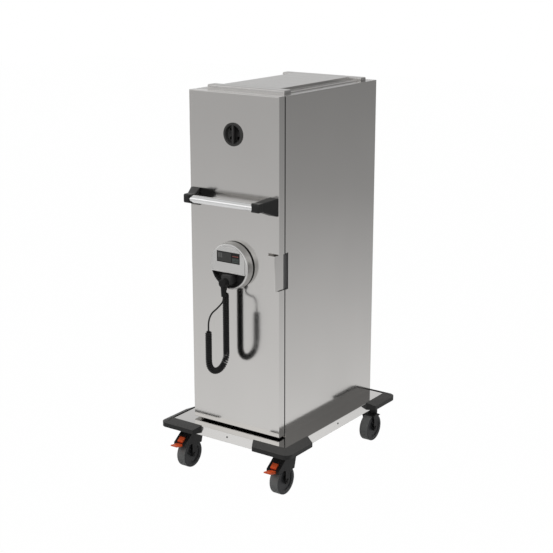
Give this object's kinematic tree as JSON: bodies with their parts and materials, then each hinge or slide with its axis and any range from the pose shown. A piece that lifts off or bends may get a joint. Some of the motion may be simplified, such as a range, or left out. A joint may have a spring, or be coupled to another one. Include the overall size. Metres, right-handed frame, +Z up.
{
  "type": "heated food transport container",
  "caption": "Tall insulated stainless cabinet on swivel casters with a hinged door, a round heater unit and a parked curly power cord.",
  "frame": {"origin": "middle of the footprint on the floor", "axes": "+Z up, the door faces -Y, the door hinges are on the -X side"},
  "size_m": [0.684, 0.972, 1.699],
  "materials": {
    "brushed_panel": "satin brushed stainless sheet",
    "liner_steel": "plain stainless sheet",
    "bright_steel": "bright stainless",
    "foam": "mineral wool filling",
    "black_plastic": "fine matte black",
    "grey_plastic": "satin grey moulding",
    "dark_gap": "matte black",
    "rubber_seal": "soft dark rubber",
    "bumper_rubber": "matte black rubber",
    "tyre_rubber": "grey tread",
    "wheel_plastic": "dark grey moulding",
    "fork_plastic": "dark moulding with steel axle",
    "orange_plastic": "orange moulding",
    "handle_aluminium": "bright ribbed tube",
    "display_glass": "dark gloss window",
    "board_green": "circuit board",
    "cord_jacket": "semi-gloss black jacket"
  },
  "bodies": {
    "cabinet": {"outer_shell": "brushed_panel", "top_panel": "brushed_panel", "top_stacking_bars": "brushed_panel", "front_frame": "grey_plastic", "inner_liner": "liner_steel", "cabinet_insulation": "foam", "tray_rails_left": "liner_steel", "tray_rails_right": "liner_steel", "latch_keeper": "dark_gap", "hinge_leaves_cabinet": "bright_steel", "deck": "brushed_panel", "deck_beams": "liner_steel", "deck_screws": "bright_steel", "bumpers_front": "bumper_rubber", "bumpers_rear": "bumper_rubber", "caster_mounts": "bright_steel"},
    "door": {"door_skin": "brushed_panel", "door_liner": "liner_steel", "door_insulation": "foam", "door_gasket": "rubber_seal", "hinge_leaves_door": "bright_steel", "vent_housing": "grey_plastic", "handle_brackets": "black_plastic", "handle_bar": "handle_aluminium", "latch_housing": "dark_gap", "unit_seal": "dark_gap", "unit_housing": "brushed_panel", "unit_scoop": "black_plastic", "unit_fascia": "brushed_panel", "display_window": "display_glass", "control_board": "board_green", "heater_sleeve": "bright_steel", "fan_motor": "black_plastic", "heater_element": "bright_steel", "air_cover": "liner_steel", "socket_block": "black_plastic", "plug_body": "black_plastic", "cord_gland": "black_plastic", "cord_curls": "cord_jacket", "cord_lead": "cord_jacket"},
    "vent_knob": {"vent_knob": "black_plastic"},
    "latch_handle": {"latch_handle": "brushed_panel"},
    "fan_wheel": {"fan_wheel": "bright_steel"},
    "caster_front_left": {"caster_fork_front_left": "fork_plastic"},
    "wheel_front_left": {"wheel_core_front_left": "wheel_plastic", "tyre_front_left": "tyre_rubber"},
    "brake_front_left": {"brake_lever_front_left": "fork_plastic", "brake_pads_front_left": "orange_plastic"},
    "caster_front_right": {"caster_fork_front_right": "fork_plastic"},
    "wheel_front_right": {"wheel_core_front_right": "wheel_plastic", "tyre_front_right": "tyre_rubber"},
    "brake_front_right": {"brake_lever_front_right": "fork_plastic", "brake_pads_front_right": "orange_plastic"},
    "caster_rear_left": {"caster_fork_rear_left": "fork_plastic"},
    "wheel_rear_left": {"wheel_core_rear_left": "wheel_plastic", "tyre_rear_left": "tyre_rubber"},
    "caster_rear_right": {"caster_fork_rear_right": "fork_plastic"},
    "wheel_rear_right": {"wheel_core_rear_right": "wheel_plastic", "tyre_rear_right": "tyre_rubber"}
  },
  "joints": [
    {"name": "door_hinge", "type": "hinge", "parent": "cabinet", "child": "door", "pos_m": [-0.235, -0.2905, 0.956], "axis": [0, 0, -1], "range_deg": [0, 180]},
    {"name": "vent_turn", "type": "hinge", "parent": "door", "child": "vent_knob", "pos_m": [0, -0.318, 1.515], "axis": [0, 1, 0], "range_deg": [0, 45]},
    {"name": "latch_pull", "type": "hinge", "parent": "door", "child": "latch_handle", "pos_m": [0.216, -0.3135, 0.961], "axis": [0, 0, 1], "range_deg": [0, 22]},
    {"name": "fan_spin", "type": "hinge", "parent": "door", "child": "fan_wheel", "pos_m": [0, -0.28, 0.966], "axis": [0, 1, 0], "continuous": true},
    {"name": "swivel_front_left", "type": "hinge", "parent": "cabinet", "child": "caster_front_left", "pos_m": [-0.252, -0.3255, 0.16], "axis": [0, 0, 1], "continuous": true},
    {"name": "wheel_spin_front_left", "type": "hinge", "parent": "caster_front_left", "child": "wheel_front_left", "pos_m": [-0.252, -0.3455, 0.0625], "axis": [1, 0, 0], "continuous": true},
    {"name": "brake_tilt_front_left", "type": "hinge", "parent": "caster_front_left", "child": "brake_front_left", "pos_m": [-0.252, -0.3995, 0.121], "axis": [1, 0, 0], "range_deg": [0, 12]},
    {"name": "swivel_front_right", "type": "hinge", "parent": "cabinet", "child": "caster_front_right", "pos_m": [0.252, -0.3255, 0.16], "axis": [0, 0, 1], "continuous": true},
    {"name": "wheel_spin_front_right", "type": "hinge", "parent": "caster_front_right", "child": "wheel_front_right", "pos_m": [0.252, -0.3455, 0.0625], "axis": [1, 0, 0], "continuous": true},
    {"name": "brake_tilt_front_right", "type": "hinge", "parent": "caster_front_right", "child": "brake_front_right", "pos_m": [0.252, -0.3995, 0.121], "axis": [1, 0, 0], "range_deg": [0, 12]},
    {"name": "swivel_rear_left", "type": "hinge", "parent": "cabinet", "child": "caster_rear_left", "pos_m": [-0.252, 0.402, 0.16], "axis": [0, 0, 1], "continuous": true},
    {"name": "wheel_spin_rear_left", "type": "hinge", "parent": "caster_rear_left", "child": "wheel_rear_left", "pos_m": [-0.252, 0.382, 0.0625], "axis": [1, 0, 0], "continuous": true},
    {"name": "swivel_rear_right", "type": "hinge", "parent": "cabinet", "child": "caster_rear_right", "pos_m": [0.252, 0.402, 0.16], "axis": [0, 0, 1], "continuous": true},
    {"name": "wheel_spin_rear_right", "type": "hinge", "parent": "caster_rear_right", "child": "wheel_rear_right", "pos_m": [0.252, 0.382, 0.0625], "axis": [1, 0, 0], "continuous": true}
  ]
}
